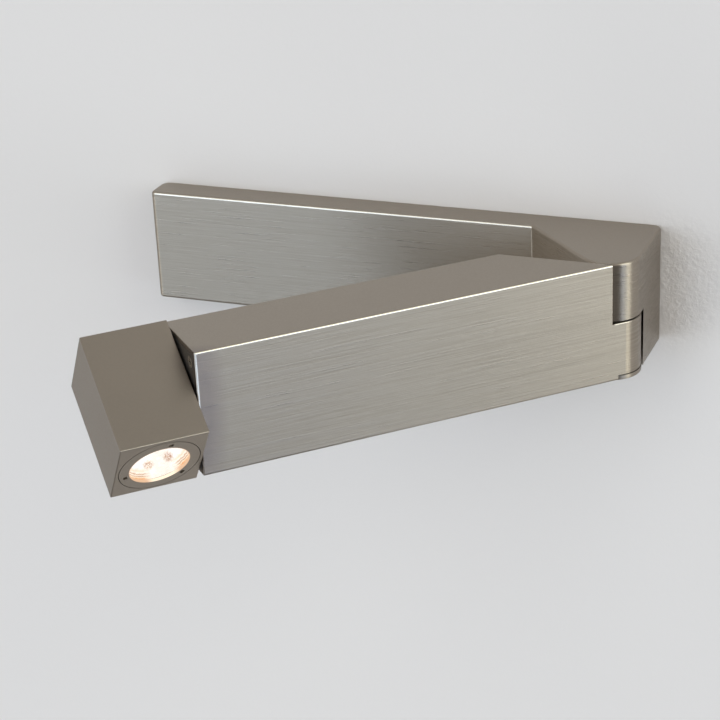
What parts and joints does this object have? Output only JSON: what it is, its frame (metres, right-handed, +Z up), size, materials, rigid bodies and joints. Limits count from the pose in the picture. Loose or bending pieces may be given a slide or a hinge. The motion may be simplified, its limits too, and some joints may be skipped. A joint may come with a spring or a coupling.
{
  "type": "wall reading lamp",
  "caption": "Folding bedside wall lamp: long box arm swings on an upright hinge, square head turns on the arm's end.",
  "frame": {"origin": "midway between the wall bracket's two slots, on the wall's face", "axes": "+X along the wall towards the hinge, +Y into the wall, +Z up"},
  "size_m": [0.2953, 0.2673, 0.0732],
  "materials": {
    "satin_nickel": "brushed satin nickel",
    "satin_nickel_head": "fine satin nickel",
    "dark_plate": "dark satin",
    "zinc_steel": "zinc plated",
    "screw_steel": "nickel plated",
    "brass": "tinned brass",
    "turned_steel": "turned",
    "spring_steel": "spring steel",
    "bearing_plastic": "natural nylon",
    "white_plastic": "moulded",
    "circuit_board": "lacquered board",
    "dark_plastic": "moulded",
    "brown_wire": "wire cover",
    "blue_wire": "wire cover",
    "green_wire": "wire cover",
    "lead_sheath": "silicone sheath",
    "clear_glass": "clear",
    "mirror_reflector": "coated glass",
    "ceramic": "unglazed ceramic",
    "lit_capsule": "lit"
  },
  "bodies": {
    "base": {"base_housing": "satin_nickel", "wall_bracket": "zinc_steel", "bracket_screws": "screw_steel", "driver_case": "white_plastic", "driver_cover": "white_plastic", "driver_board": "circuit_board", "driver_components": "dark_plastic", "driver_screws": "screw_steel", "terminal_block": "white_plastic", "terminal_screws": "screw_steel", "earth_tag": "brass", "earth_screw": "screw_steel", "live_lead": "brown_wire", "neutral_lead": "blue_wire", "earth_lead": "green_wire", "base_lead": "lead_sheath", "hinge_pin": "turned_steel", "hinge_stop_pin": "turned_steel", "hinge_spring_washer": "spring_steel", "hinge_lock_nut": "turned_steel"},
    "arm": {"arm_shell": "satin_nickel", "hinge_bush": "bearing_plastic", "hinge_friction_washer": "bearing_plastic", "hinge_cap": "satin_nickel", "arm_end_plate": "dark_plate", "end_plate_screws": "screw_steel", "swivel_bush": "bearing_plastic", "swivel_friction_washer": "bearing_plastic", "arm_lead": "lead_sheath", "lead_clips": "bearing_plastic"},
    "head": {"head_housing": "satin_nickel_head", "retaining_ring": "satin_nickel_head", "front_glass": "clear_glass", "lamp_reflector": "mirror_reflector", "lamp_base": "ceramic", "lamp_capsule": "lit_capsule", "lamp_pins": "screw_steel", "lamp_holder": "ceramic", "holder_bracket": "zinc_steel", "holder_screws": "screw_steel", "swivel_tube": "turned_steel", "swivel_spring_washer": "spring_steel", "swivel_nut": "turned_steel", "swivel_stop_pin": "turned_steel", "head_lead": "lead_sheath"}
  },
  "joints": [
    {"name": "arm_swing", "type": "hinge", "parent": "base", "child": "arm", "pos_m": [0.1315, -0.0469, 0], "axis": [0, 0, 1], "range_deg": [-40.5, 75]},
    {"name": "head_turn", "type": "hinge", "parent": "arm", "child": "head", "pos_m": [-0.03821, -0.20812, 0], "axis": [-0.7071, -0.7071, 0], "range_deg": [-54.3, 125.7]}
  ]
}
